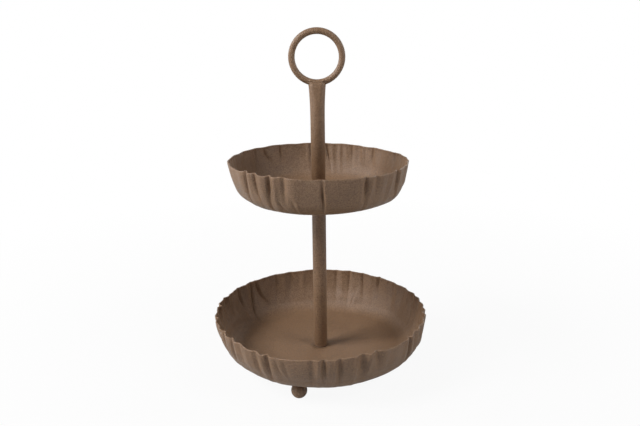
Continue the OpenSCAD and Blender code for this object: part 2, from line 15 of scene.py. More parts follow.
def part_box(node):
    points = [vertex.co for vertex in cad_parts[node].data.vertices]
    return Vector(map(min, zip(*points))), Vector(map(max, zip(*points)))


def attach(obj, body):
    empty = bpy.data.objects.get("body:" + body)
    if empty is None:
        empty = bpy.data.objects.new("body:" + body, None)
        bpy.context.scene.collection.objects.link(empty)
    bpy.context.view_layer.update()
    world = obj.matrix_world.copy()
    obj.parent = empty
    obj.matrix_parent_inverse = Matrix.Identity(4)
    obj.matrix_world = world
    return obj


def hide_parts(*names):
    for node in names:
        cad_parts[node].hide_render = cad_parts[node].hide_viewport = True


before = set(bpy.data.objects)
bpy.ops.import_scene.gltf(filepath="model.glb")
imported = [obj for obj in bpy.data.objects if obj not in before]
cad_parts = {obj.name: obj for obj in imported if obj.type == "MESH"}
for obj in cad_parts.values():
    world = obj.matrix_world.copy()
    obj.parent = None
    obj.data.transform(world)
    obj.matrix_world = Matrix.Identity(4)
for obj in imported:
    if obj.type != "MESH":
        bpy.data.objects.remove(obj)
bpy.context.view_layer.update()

bl_info = {
    "name": "Two-tier etagere",
    "version": (1, 0, 0),
    "blender": (4, 5, 0),
    "location": "View3D > Sidebar > Etagere",
    "description": "Builds a serving stand with two crinkled bowls, a post, a ring handle and ball feet",
    "category": "Object",
}

MM = 0.001
# Points of a mesh that are closer than this are one point
SAME_POINT = 0.0001 * MM


def low(node):
    """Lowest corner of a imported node."""
    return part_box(node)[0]


def high(node):
    """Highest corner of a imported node."""
    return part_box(node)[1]


def span(node, axis):
    """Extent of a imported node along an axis, 0 to 2."""
    return high(node)[axis] - low(node)[axis]


# Folds of each wall, outwards where the depth is positive, as [direction at the rim, depth in mm,
# half width in degrees, lean from rim to floor in degrees, middle and half length as shares of the
# section]
LOWER_FOLDS = [
    [4, 1.0, 1.6, 0, 0.2, 0.5], [8, -1.2, 1.4, 0, 0.2, 0.6], [12.5, 1.5, 1.5, -2, 0.2, 0.5],
    [15.8, -1.1, 1.2, -3, 0.2, 0.5], [19.4, 1.9, 1.5, -5, 0.35, 0.6], [24, -1.3, 1.4, -4, 0.2, 0.5],
    [28.4, 1.3, 1.2, 0, 0.1, 0.3], [30.8, 1.3, 1.2, -4, 0.35, 0.25], [35, -1.4, 1.6, -3, 0.25, 0.5],
    [38.8, 1.9, 1.1, -2, 0.25, 0.25], [44, -1.3, 1.9, -3, 0.25, 0.5], [50.6, 3.5, 1.2, -2, 0.1, 0.35],
    [56.5, -1.7, 1.8, -3, 0.25, 0.5], [61.9, 2.5, 1.0, -4, 0.35, 0.5], [62.3, -1.6, 0.8, 6, 0.66, 0.22],
    [60.6, -1.3, 1.6, 6, 0.66, 0.22], [64.6, -1.4, 0.8, 6, 0.74, 0.14], [70.8, 2.6, 1.3, 0, 0.3, 0.45],
    [75.5, -1.6, 1.6, 0, 0.3, 0.5], [79.2, 2.0, 1.5, 0, 0.3, 0.5], [87, -0.9, 2.2, 0, 0.3, 0.5],
    [94, 0.9, 2.0, 0, 0.3, 0.5], [101, -1.6, 1.7, 2, 0.3, 0.5], [109, 2.2, 1.7, 3, 0.35, 0.45],
    [113.5, -1.4, 1.6, 3, 0.3, 0.5], [119, 2.3, 1.5, 3, 0.35, 0.45], [125.5, -1.6, 1.7, 2, 0.3, 0.5],
    [133.8, 4.8, 1.4, -11.5, 0.42, 0.42], [137.6, 4.3, 1.0, 3.5, 0.5, 0.5],
    [136.4, 4.2, 0.9, 6, 0.82, 0.14], [142.5, -2.0, 1.4, 0, 0.2, 0.5], [148.8, 4.6, 1.25, -5, 0.37, 0.38],
    [155, -1.3, 2.0, 0, 0.3, 0.6], [160.4, -1.7, 1.2, 0, 0.1, 0.4], [163.8, 2.3, 1.4, 0, 0.1, 0.35],
    [167.6, 2.2, 1.5, 0, 0.45, 0.35], [171, 1.7, 1.5, 0, 0.1, 0.3], [174.5, -3.5, 1.0, 0, 0.05, 0.3],
    [176.5, 2.3, 1.4, 3, 0.4, 0.4], [182, -1.3, 1.6, 0, 0.3, 0.5], [186.5, 1.3, 1.6, -2, 0.2, 0.5],
    [190.5, -2.6, 0.9, -2, 0.1, 0.35], [195, 1.4, 1.7, -3, 0.2, 0.6], [200, -1.2, 1.5, -3, 0.25, 0.6],
    [204, 1.0, 1.9, -3, 0.3, 0.6], [208.6, -3.0, 1.05, -4, 0.15, 0.4], [213.2, 1.1, 1.7, -4, 0.3, 0.6],
    [217.9, -3.6, 1.1, -5, 0.3, 0.5], [221.2, 1.2, 1.4, -3, 0.3, 0.6], [224.9, -1.5, 1.4, 0, 0.2, 0.4],
    [229.4, 1.3, 2.0, 0, 0.4, 0.6], [235.5, -3.6, 1.6, 1, 0.35, 0.4], [239.0, 1.7, 1.2, 1, 0.4, 0.6],
    [242.4, -5.2, 1.1, 0.5, 0.35, 0.45], [245.6, 1.7, 1.8, 2, 0.4, 0.5], [247.6, -0.9, 0.9, 9, 0.35, 0.3],
    [249.5, 0.7, 1.2, 6, 0.4, 0.4], [252, -0.9, 1.1, 3, 0.35, 0.4], [256, 0.5, 2.0, 1, 0.4, 0.4],
    [265.7, -2.2, 1.4, -0.5, 0.35, 0.45], [268.7, 1.8, 1.0, -0.5, 0.35, 0.45],
    [271.5, -4.2, 1.15, -0.5, 0.3, 0.45], [274.8, 1.0, 1.3, 0, 0.4, 0.45], [277.0, 1.4, 1.0, 1, 0.3, 0.5],
    [279.3, -4.4, 1.2, 1.0, 0.35, 0.5], [287.2, 2.6, 1.0, 0.5, 0.5, 0.6],
    [291.1, -5.0, 2.3, 0.5, 0.25, 0.45], [295.0, 2.2, 1.4, 0, 0.2, 0.5],
    [299.4, -3.8, 1.7, 5, 0.05, 0.38], [304, 1.4, 2.0, 3, 0.2, 0.4], [311, 0.5, 3.0, 1, 0.25, 0.5],
    [319.4, 1.4, 1.5, 4, 0.3, 0.5], [322.4, -4.8, 0.85, 5.5, 0.35, 0.5], [324.3, 2.0, 1.0, 6, 0.3, 0.5],
    [328.3, -1.9, 1.2, 4, 0.1, 0.5], [331.8, 1.7, 1.4, 4, 0.3, 0.6], [335.5, -1.6, 1.4, 4, 0.3, 0.6],
    [339.5, 1.4, 1.7, 3, 0.25, 0.6], [345.5, -1.3, 1.4, 2, 0.2, 0.6], [350, 1.6, 1.3, 0, 0.1, 0.5],
    [353.4, -1.9, 1.0, 0, 0.05, 0.4], [357, 1.0, 1.4, 0, 0.2, 0.5], [360, -1.0, 1.2, 0, 0.2, 0.5]]
UPPER_FOLDS = [
    [6, 0.8, 1.8, 0, 0.25, 0.5], [13, -0.9, 1.7, 0, 0.25, 0.5], [19, 0.8, 1.6, 0, 0.3, 0.5],
    [24.6, 2.4, 1.2, -4, 0.2, 0.35], [31, -0.9, 1.8, 0, 0.3, 0.5], [39, 0.8, 1.8, 0, 0.3, 0.45],
    [47.2, 2.4, 1.2, -2, 0.3, 0.35], [52, -0.7, 1.4, -2, 0.35, 0.4], [55.4, -1.9, 1.4, -3, 0.3, 0.45],
    [60, 0.8, 1.4, -3, 0.35, 0.4], [64.4, 1.9, 1.3, -3, 0.3, 0.4], [69, -1.0, 1.5, -2, 0.35, 0.4],
    [73.8, -1.8, 1.3, -2, 0.35, 0.4], [79.6, -1.6, 1.3, -3, 0.4, 0.4], [83.4, 3.4, 1.0, -6, 0.35, 0.35],
    [90, -0.5, 1.8, 0, 0.35, 0.4], [97.5, -1.7, 1.0, 0, 0.35, 0.4], [104, 0.6, 2.2, 0, 0.35, 0.4],
    [111, -0.6, 2.0, 0, 0.35, 0.4], [118.8, 2.8, 1.2, 0, 0.3, 0.3], [126, -0.7, 1.8, 0, 0.35, 0.4],
    [132.4, 2.4, 1.4, -18, 0.25, 0.25], [140.4, 2.4, 1.2, 1, 0.35, 0.35], [147, -0.7, 1.8, 0, 0.35, 0.4],
    [153, 0.8, 1.6, 0, 0.35, 0.4], [159, -0.8, 1.6, 0, 0.35, 0.4], [165, 0.8, 1.8, 0, 0.3, 0.5],
    [173, -0.9, 1.7, 0, 0.25, 0.5], [183, 1.2, 4.0, 0, 0.0, 0.4], [191, -0.5, 2.0, -1, 0.3, 0.5],
    [200, 0.5, 2.6, -1, 0.3, 0.5], [208, -0.5, 2.4, -1, 0.3, 0.6], [215, 0.9, 2.4, -1, 0.25, 0.6],
    [217.4, 0.7, 1.4, -2, 0.25, 0.6], [220.8, -4.0, 1.05, -3, 0.3, 0.5], [224.6, 1.5, 1.5, -1, 0.3, 0.6],
    [228.8, -4.2, 1.2, 2.5, 0.3, 0.45], [234.2, 1.4, 2.0, 1, 0.4, 0.55],
    [239.3, -5.4, 1.25, -2.5, 0.35, 0.55], [243.8, 2.0, 1.7, -2, 0.4, 0.6],
    [249.6, -3.0, 1.7, -1, 0.2, 0.5], [255.2, 1.7, 3.2, 1, 0.35, 0.7], [265.5, -1.1, 5.0, 0, 0.4, 0.8],
    [233.8, -3.4, 1.0, 20, 0.8, 0.11], [249.9, -3.0, 0.9, 8, 0.8, 0.11], [252.4, 2.2, 0.9, 8, 0.82, 0.11],
    [261, 1.2, 1.1, 2, 0.86, 0.1], [272.2, -4.0, 0.75, 1.6, 0.55, 0.35],
    [273.9, 2.2, 0.9, 1.4, 0.55, 0.45], [279, -0.4, 1.4, 0, 0.8, 0.2], [285, 0.4, 1.4, 0, 0.8, 0.2],
    [296, 1.0, 1.4, 0, 0.4, 0.5], [299.2, -4.8, 1.2, 1.5, 0.35, 0.45], [302.9, 1.5, 1.3, 0, 0.4, 0.5],
    [306.6, -2.3, 1.6, 2, 0.15, 0.4], [311.5, 1.0, 1.7, 1, 0.4, 0.5], [316.6, -1.1, 1.3, 0, 0.4, 0.5],
    [320.6, 1.1, 1.4, -1, 0.4, 0.5], [326.3, -4.2, 0.8, 4, 0.35, 0.5], [328.4, 2.2, 0.9, 4, 0.35, 0.5],
    [338.5, -1.4, 1.5, 2, 0.25, 0.5], [344, 1.0, 1.6, 2, 0.25, 0.5], [350, -1.1, 1.5, 1, 0.25, 0.5],
    [356, 0.8, 1.7, 0, 0.25, 0.5]]

# Ripples between the folds, and rise and fall of the rim: [waves round the bowl, share, phase]
RIPPLES = [[13, 0.5, 20], [23, 0.6, 130], [41, 0.4, 250]]
RIM_WAVES = [[5, 0.4, 60], [14, 0.5, 200], [27, 0.4, 310]]

# How each hand-bent bowl strays from round. Its rim rises in mm, as [direction, rise, half width],
# and its wall bulges in mm, as [direction, share down the section, push, half width, half height]
LOWER_RIM = [
    [95, 2.9, 60], [208.6, 0.9, 1.4], [217.9, 0.8, 1.6], [226, 1.6, 4], [236, 1.5, 2.5], [243, -3.9, 22],
    [242.1, 1.2, 1.5], [265, 1.0, 4], [275, -1.8, 14], [309, -2.4, 11], [324, -1.2, 4], [334, 1.5, 6]]
UPPER_RIM = [
    [122, 1.2, 30], [180, 0.9, 30], [220.8, 0.9, 1.6], [226, 1.2, 14], [228.8, 0.8, 1.5],
    [239.3, 1.1, 1.7], [247.4, 0.6, 1.8], [252, 1.3, 14], [312, -1.7, 30], [34, -2.2, 36]]
LOWER_BULGES = [
    [226, 0.88, -2.2, 14, 0.2], [262, 0.90, -1.6, 14, 0.2], [300, 0.90, -1.4, 16, 0.2],
    [335, 0.60, 2.2, 16, 0.3], [352, 0.60, 2.5, 14, 0.25], [350, 0.95, -5.0, 16, 0.15],
    [30, 0.85, 1.8, 16, 0.25], [75, 0.85, -2.2, 20, 0.2], [120, 0.70, 1.6, 18, 0.3],
    [165, 0.85, -2.0, 16, 0.2]]
UPPER_BULGES = [
    [208, 0.88, -3.0, 14, 0.2], [235, 0.88, -1.7, 14, 0.2], [335, 0.85, 2.6, 12, 0.2],
    [352, 0.60, 1.8, 14, 0.2], [352, 0.90, -2.2, 14, 0.2], [40, 0.80, 1.4, 18, 0.25],
    [90, 0.88, -1.8, 20, 0.2], [150, 0.75, 1.2, 18, 0.3]]

# Share of the section that the wall takes, the rest is the corner
WALL_SHARE = 0.72
# Share of the section over which the lip's extra coat fades
LIP_FADE = 0.03
# Steps of the half round along the rim's edge
EDGE_STEPS = 4
# Rings of points on the flat floor, as shares of its radius
FLOOR_RINGS = (0.75, 0.4, 0.15)
# Rounding of the edges of the lower tube, of the washers and of the handle tube
TUBE_EDGE = 0.3 * MM
WASHER_EDGE = 0.25 * MM
MOUTH_EDGE = 0.25 * MM


# Properties
def length(name, text, default):
    """A size in metres."""
    return FloatProperty(name=name, description=text, default=default, min=0, unit="LENGTH", precision=5)


def colour(name, text, default):
    """A colour in linear light."""
    return FloatVectorProperty(
        name=name, description=text, default=default, size=3, min=0, max=1, subtype="COLOR")


class EtagereBowls(bpy.types.PropertyGroup):
    """Sizes of the two bowls and of their crinkles."""

    lower_rim: length("Lower rim", "Mean rim diameter of the lower bowl", 279.0 * MM)
    lower_depth: length("Lower depth", "From the underside to the mean rim", 53.4 * MM)
    lower_floor: length("Lower floor", "Diameter of the flat floor", 210.0 * MM)
    lower_corner: length("Lower corner", "Radius between floor and wall", 25.0 * MM)
    lower_bow: length("Lower bow", "How far the wall bows outwards", 1.8 * MM)
    upper_rim: length("Upper rim", "Mean rim diameter of the upper bowl", 226.4 * MM)
    upper_depth: length("Upper depth", "From the underside to the mean rim", 47.4 * MM)
    upper_floor: length("Upper floor", "Diameter of the flat floor", 164.0 * MM)
    upper_corner: length("Upper corner", "Radius between floor and wall", 25.0 * MM)
    upper_bow: length("Upper bow", "How far the wall bows outwards", 0.8 * MM)
    sheet: length("Sheet", "Thickness of the coated sheet", 1.2 * MM)
    ripple: length("Ripple", "Height of the ripples between the folds", 0.25 * MM)
    rim_wave: length("Rim wave", "Rise and fall of the rim", 0.5 * MM)
    lip: length("Lip", "Extra thickness of the coat along the rim", 0.5 * MM)
    hole: length("Hole", "Diameter of the hole for the stud", 6.2 * MM)
    around: IntProperty(name="Around", description="Points round a bowl", default=1200, min=90)


class EtagerePost(bpy.types.PropertyGroup):
    """Sizes of the tubes, the weld and the stud's thread."""

    tube_wall: length("Tube wall", "Wall of both tubes", 1.5 * MM)
    flare: length("Flare", "Height over which the handle tube is pressed flat", 50.0 * MM)
    mouth_gap: length("Mouth gap", "Clearance between the tube's mouth and the ring", 0.25 * MM)
    bead: length("Bead", "Thickness of the weld round the tube's mouth", 2.8 * MM)
    thread_pitch: length("Thread pitch", "Rise of one turn of the stud's thread", 1.0 * MM)


class EtagereFinish(bpy.types.PropertyGroup):
    """Colours of the finishes."""

    coat: colour("Coat", "Powder coat", (0.218, 0.122, 0.0635))
    coat_light: colour("Coat, light grain", "Raised grains of the coat", (0.341, 0.215, 0.127))
    coat_dark: colour("Coat, dark grain", "Hollows of the coat", (0.116, 0.062, 0.032))
    steel: colour("Steel", "Zinc-plated hardware", (0.56, 0.55, 0.53))
    rubber: colour("Rubber", "Washers between tube and bowl", (0.08, 0.052, 0.034))
    floor: colour("Floor", "Studio floor", (0.6, 0.6, 0.6))


# Mesh helpers
def link(obj):
    """Puts a new object into the scene."""
    bpy.context.scene.collection.objects.link(obj)
    return obj


def mesh_object(name, points, faces):
    """A smooth-shaded object at the origin from points and faces in metres."""
    mesh = bpy.data.meshes.new(name)
    mesh.from_pydata([tuple(p) for p in points], [], faces)
    mesh.validate()
    mesh.polygons.foreach_set("use_smooth", [True] * len(mesh.polygons))
    mesh.update()
    return link(bpy.data.objects.new(name, mesh))


def loft_faces(rings, around, closed=False):
    """Quads between rings of points; the last ring joins the first if the loft is closed."""
    faces = []
    for k in range(rings if closed else rings - 1):
        a = k * around
        b = (k + 1) % rings * around
        for i in range(around):
            j = (i + 1) % around
            faces.append((a + i, a + j, b + j, b + i))
    return faces


def capped_loft(rings):
    """Points and faces of an open loft with a flat face at each end."""
    count = len(rings)
    around = len(rings[0])
    ends = [tuple(range(around))[::-1], tuple(range((count - 1) * around, count * around))]
    return np.concatenate(rings), loft_faces(count, around) + ends


def at_height(spots, z):
    """Points of a flat outline at one height, or each at its own."""
    return np.column_stack([spots, np.broadcast_to(z, len(spots))])


def face_outwards(obj):
    """Turns the faces of a closed mesh outwards."""
    work = bmesh.new()
    work.from_mesh(obj.data)
    bmesh.ops.remove_doubles(work, verts=work.verts, dist=SAME_POINT)
    bmesh.ops.recalc_face_normals(work, faces=work.faces)
    work.to_mesh(obj.data)
    work.free()
    obj.data.update()
    return obj


def revolve(name, outline, sides=96):
    """A closed solid of revolution about Z from a closed outline of (radius, height)."""
    turn = np.linspace(0, 2 * math.pi, sides, endpoint=False)
    points = []
    for radius, height in outline:
        points += [(radius * math.cos(t), radius * math.sin(t), height) for t in turn]
    return face_outwards(mesh_object(name, points, loft_faces(len(outline), sides, closed=True)))


def rounded_ring_outline(inner, outer, bottom, top, edge, steps=4):
    """Outline of a washer or tube whose four edges are rounded."""
    corners = [(outer - edge, bottom + edge, -90), (outer - edge, top - edge, 0),
               (inner + edge, top - edge, 90), (inner + edge, bottom + edge, 180)]
    outline = []
    for x, z, start in corners:
        for k in range(steps + 1):
            a = math.radians(start + 90 * k / steps)
            outline.append((x + edge * math.cos(a), z + edge * math.sin(a)))
    return outline


def settle(obj):
    """Applies an object's modifiers to a plain mesh."""
    graph = bpy.context.evaluated_depsgraph_get()
    mesh = bpy.data.meshes.new_from_object(obj.evaluated_get(graph))
    obj.modifiers.clear()
    old = obj.data
    obj.data = mesh
    bpy.data.meshes.remove(old)


# Crinkled bowls
def swell(angle, half_width):
    """A smooth bump that is 1 in the middle and fades over its half width."""
    near = angle - 360 * np.round(angle / 360)
    return np.exp(-(near / half_width) ** 2)


def waves(az, rows):
    """Sum of waves round a bowl, from rows of [count, share, phase]."""
    return sum(share * np.sin(np.radians(count * az + phase)) for count, share, phase in rows)


def crinkle(az, down, folds, bulges, ripple):
    """Outward push of the wall at directions az and shares down the section, in metres."""
    fade = np.sqrt(1 - down)
    push = ripple * (1 - down) * waves(az, RIPPLES)
    for place, depth, width, lean, middle, half in folds:
        along = fade * np.exp(-((down - middle) / half) ** 2)
        push = push + depth * MM * along * swell(az - place - lean * down ** 2, width)
    for place, middle, depth, width, half in bulges:
        push = push + depth * MM * swell(az - place, width) * np.exp(-((down - middle) / half) ** 2)
    return push


def bowl_section(rim_r, depth, floor_r, corner_r, bow, wall_n=22, corner_n=10):
    """Outer section of a bowl as rows of radius, height and share of the way from rim to floor."""
    dx = rim_r - floor_r
    dz = depth - corner_r
    lean = math.atan2(dz, dx) + math.asin(corner_r / math.hypot(dx, dz))
    out = np.array([math.sin(lean), -math.cos(lean)])
    foot = np.array([floor_r, corner_r]) + corner_r * out
    rim = np.array([rim_r, depth])
    rows = []
    for share in np.linspace(0, 1, wall_n + 1):
        spot = rim + (foot - rim) * share + out * 4 * bow * share * (1 - share)
        rows.append((spot[0], spot[1], WALL_SHARE * share))
    for share in np.linspace(0, 1, corner_n + 1)[1:]:
        turn = lean * (1 - share)
        rows.append((floor_r + corner_r * math.sin(turn), corner_r - corner_r * math.cos(turn),
                     WALL_SHARE + (1 - WALL_SHARE) * share))
    return np.array(rows)


def bowl(name, under_z, rim_d, depth, floor_d, corner_r, bow, folds, bulges, bends, sizes):
    """A crinkled bowl of even sheet with a rounded rim edge and a round hole in its floor."""
    around = sizes.around
    section = bowl_section(rim_d / 2, depth, floor_d / 2, corner_r, bow)
    az = np.arange(around) * 360 / around
    down = section[:, 2:3]
    reach = section[:, 0:1] + crinkle(az[None, :], down, folds, bulges, sizes.ripple)
    rise = sizes.rim_wave * waves(az, RIM_WAVES)
    rise = rise + MM * sum(height * swell(az - place, width) for place, height, width in bends)
    lift = (1 - down) ** 2 * rise[None, :]
    outer = np.stack([reach * np.cos(np.radians(az)), reach * np.sin(np.radians(az)),
                      under_z + section[:, 1:2] + lift], -1)
    along = np.gradient(outer, axis=0)
    across = np.roll(outer, -1, axis=1) - np.roll(outer, 1, axis=1)
    normal = np.cross(along, across)
    normal /= np.linalg.norm(normal, axis=2, keepdims=True)
    normal[-1] = (0, 0, -1)
    thick = sizes.sheet + sizes.lip * np.exp(-(down / LIP_FADE) ** 2)
    inner = outer - thick[..., None] * normal
    middle = (outer[0] + inner[0]) / 2
    upward = -along[0] / np.linalg.norm(along[0], axis=1, keepdims=True)
    edge = []
    for k in range(1, EDGE_STEPS):
        turn = math.pi * k / EDGE_STEPS
        edge.append(middle + thick[0] / 2 * (math.cos(turn) * normal[0] + math.sin(turn) * upward))
    circle = np.stack([np.cos(np.radians(az)), np.sin(np.radians(az))], -1)
    radii = [share * floor_d / 2 for share in FLOOR_RINGS] + [sizes.hole / 2]
    rings = [at_height(radius * circle, under_z) for radius in radii[::-1]]
    rings += list(outer[::-1])
    rings += edge
    rings += list(inner)
    rings += [at_height(radius * circle, under_z + sizes.sheet) for radius in radii]
    return mesh_object(name, np.concatenate(rings), loft_faces(len(rings), around, closed=True))


# Shader maths
class Term:
    """A socket of a node tree that can be used in Python expressions."""

    def __init__(self, tree, socket):
        self.tree = tree
        self.socket = socket

    def math(self, operation, other, swap=False):
        """A Math node on this socket and another value, swapped if the other comes first."""
        values = (other, self) if swap else (self, other)
        return make(self.tree, "ShaderNodeMath", {"operation": operation}, dict(enumerate(values)))

    def __add__(self, other):
        return self.math("ADD", other)

    def __sub__(self, other):
        return self.math("SUBTRACT", other)

    def __mul__(self, other):
        return self.math("MULTIPLY", other)

    def __rsub__(self, other):
        return self.math("SUBTRACT", other, swap=True)

    __radd__ = __add__
    __rmul__ = __mul__


def make(tree, kind, settings=None, inputs=None, output=0):
    """A node of the given type, with its settings and then its inputs, as a Term of one output."""
    node = tree.nodes.new(kind)
    for key, value in (settings or {}).items():
        if key == "stops":
            ramp = node.color_ramp.elements
            while len(ramp) < len(value):
                ramp.new(0.5)
            for stop, (place, shade) in zip(ramp, value):
                stop.position = place
                stop.color = shade
        else:
            setattr(node, key, value)
    for key, value in (inputs or {}).items():
        if isinstance(value, Term):
            tree.links.new(value.socket, node.inputs[key])
        else:
            node.inputs[key].default_value = value
    return Term(tree, node.outputs[output]) if len(node.outputs) else None


def blend_colours(tree, share, first, second):
    """Mixes two colours, plain or linked, by a share."""
    inputs = {0: share, 6: opaque(first), 7: opaque(second)}
    return make(tree, "ShaderNodeMix", {"data_type": "RGBA"}, inputs, output=2)


def opaque(shade):
    """A colour with an alpha of 1, or a linked colour as it is."""
    return shade if isinstance(shade, Term) else (*shade, 1.0)


def new_material(name, shade):
    """An empty node material with a viewport colour."""
    material = bpy.data.materials.new(name)
    material.use_nodes = True
    material.node_tree.nodes.clear()
    material.diffuse_color = opaque(shade)
    return material, material.node_tree


def noise(tree, place, scale, detail, roughness=0.5):
    """Noise from 0 to 1 at a scale in features per metre."""
    inputs = {"Vector": place, "Scale": scale, "Detail": detail, "Roughness": roughness}
    return make(tree, "ShaderNodeTexNoise", {"noise_dimensions": "3D"}, inputs)


def background_rays(tree, mirrored):
    """Is 1 for rays that show the background, straight or passed on, and a share for mirrored rays."""
    rays = tree.nodes.new("ShaderNodeLightPath").outputs
    camera = Term(tree, rays["Is Camera Ray"])
    glossy = Term(tree, rays["Is Glossy Ray"])
    through = Term(tree, rays["Is Transmission Ray"])
    return camera.math("MAXIMUM", glossy * mirrored).math("MAXIMUM", through)


def between(mask, least, most):
    """A value that goes from least to most as a mask goes from 0 to 1."""
    return mask * (most - least) + least


def finish_surface(tree, inputs):
    """Connects a Principled shader to the output."""
    surface = make(tree, "ShaderNodeBsdfPrincipled", {}, inputs)
    make(tree, "ShaderNodeOutputMaterial", {}, {"Surface": surface})


def powder_coat(shades, name="powder_coat", relief=0.9 * MM, evenness=0.35):
    """Taupe powder coat: sandy grain, light and dark flecks, faint patches and a soft sheen.

    Relief is the height of the grain, and evenness the share of the coat's plain colour.
    """
    grain_share = 0.7
    material, tree = new_material(name, shades.coat)
    place = make(tree, "ShaderNodeTexCoord", output="Object")
    grain = noise(tree, place, scale=900.0, detail=2.0, roughness=0.6)
    sand = make(tree, "ShaderNodeTexVoronoi", {}, {"Vector": place, "Scale": 800.0}, output="Color")
    patch = noise(tree, place, scale=45.0, detail=3.0)
    height = grain * grain_share + sand * (1 - grain_share)
    fleck = make(tree, "ShaderNodeValToRGB",
                 {"stops": [(0.3, (0, 0, 0, 1)), (0.7, (1, 1, 1, 1))]}, {0: height})
    shade = blend_colours(tree, fleck, shades.coat_dark, shades.coat_light)
    shade = blend_colours(tree, evenness, shade, shades.coat)
    tone = make(tree, "ShaderNodeValToRGB",
                {"stops": [(0.3, (0.9, 0.9, 0.91, 1)), (0.7, (1, 1, 1, 1))]}, {0: patch})
    shade = make(tree, "ShaderNodeMix", {"data_type": "RGBA", "blend_type": "MULTIPLY"},
                 {0: 1.0, 6: shade, 7: tone}, output=2)
    bump = make(tree, "ShaderNodeBump", {}, {"Strength": 1.0, "Distance": relief, "Height": height})
    finish_surface(tree, {
        "Base Color": shade,
        "Roughness": between(sand, 0.28, 0.58),
        "Specular IOR Level": 0.5,
        "Normal": bump,
    })
    return material


def smooth_coat(shades):
    """The same coat where it lies thinner and more even, on the handle."""
    return powder_coat(shades, "smooth_powder_coat", relief=0.6 * MM, evenness=0.5)


def plated_steel(shades):
    """Zinc-plated steel of the hidden hardware, with fine turning marks."""
    material, tree = new_material("plated_steel", shades.steel)
    place = make(tree, "ShaderNodeTexCoord", output="Object")
    cloud = noise(tree, place, scale=300.0, detail=3.0)
    streak = make(tree, "ShaderNodeTexWave", {"bands_direction": "Z"},
                  {"Vector": place, "Scale": 900.0, "Distortion": 3.0, "Detail": 2.0})
    dull = tuple(0.75 * part for part in shades.steel)
    shade = blend_colours(tree, cloud, dull, shades.steel)
    bump = make(tree, "ShaderNodeBump", {}, {"Strength": 0.2, "Distance": 0.05 * MM, "Height": streak})
    finish_surface(tree, {
        "Base Color": shade, "Metallic": 1.0, "Roughness": between(cloud, 0.25, 0.45), "Normal": bump})
    return material


def washer_rubber(shades):
    """Dark rubber with a dull bloom."""
    material, tree = new_material("washer_rubber", shades.rubber)
    place = make(tree, "ShaderNodeTexCoord", output="Object")
    bloom = noise(tree, place, scale=500.0, detail=3.0)
    pale = tuple(2.0 * part for part in shades.rubber)
    shade = blend_colours(tree, bloom * 0.5, shades.rubber, pale)
    bump = make(tree, "ShaderNodeBump", {}, {"Strength": 0.3, "Distance": 0.1 * MM, "Height": bloom})
    finish_surface(tree, {"Base Color": shade, "Roughness": between(bloom, 0.65, 0.85), "Normal": bump})
    return material


FINISHES = {
    "coat": powder_coat,
    "smooth_coat": smooth_coat,
    "bare_steel": plated_steel,
    "washer_rubber": washer_rubber,
}
# Materials that are made already, by finish
MADE = {}


def finish_of(finish):
    """The material of a finish, made once."""
    if finish not in MADE:
        MADE[finish] = FINISHES[finish](bpy.context.scene.etagere_finish)
    return MADE[finish]


def paint(obj, finish):
    """Gives an object one finish all over."""
    obj.data.materials.clear()
    obj.data.materials.append(finish_of(finish))


def dress(obj, slot, body, *nodes, finish=None):
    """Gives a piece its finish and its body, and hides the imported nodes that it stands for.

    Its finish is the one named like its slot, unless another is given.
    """
    paint(obj, finish or slot)
    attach(obj, body)
    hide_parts(*nodes)


# Geometry node trees
# Points round the ring, the rod it is bent from, a ball and the stud, and of one turn of its thread
RING_POINTS = 192
ROD_POINTS = 48
BALL_POINTS = 64
STUD_POINTS = 48
TURN_POINTS = 40
# Thread: its depth as a share of the pitch, and its ridge's middle and radius as shares of the depth
THREAD_DEPTH = 0.55
RIDGE_MIDDLE = 0.35
RIDGE_RADIUS = 0.65


class Tree:
    """A geometry node tree with named inputs, used once on an object and then applied."""

    def __init__(self, name, inputs):
        self.group = bpy.data.node_groups.new(name, "GeometryNodeTree")
        self.group.interface.new_socket("Geometry", in_out="OUTPUT", socket_type="NodeSocketGeometry")
        self.values = {}
        for label, (kind, value) in inputs.items():
            socket = self.group.interface.new_socket(label, in_out="INPUT", socket_type=kind)
            self.values[socket.identifier] = value
        self.entry = self.group.nodes.new("NodeGroupInput")

    def value(self, label):
        """One of the named inputs."""
        return Term(self.group, self.entry.outputs[label])

    def node(self, kind, inputs=None, settings=None, output=0):
        """A node of the tree, as a Term of one output."""
        return make(self.group, kind, settings, inputs, output)

    def build(self, name, shape, material):
        """Ends the tree in Realize Instances and Set Material and turns the result into a plain mesh."""
        real = self.node("GeometryNodeRealizeInstances", {0: shape})
        coated = self.node("GeometryNodeSetMaterial", {"Geometry": real, "Material": material})
        end = self.group.nodes.new("NodeGroupOutput")
        self.group.links.new(coated.socket, end.inputs[0])
        obj = link(bpy.data.objects.new(name, bpy.data.meshes.new(name)))
        modifier = obj.modifiers.new("shape", "NODES")
        modifier.node_group = self.group
        for identifier, value in self.values.items():
            modifier[identifier] = value
        settle(obj)
        obj.data.name = name
        return obj


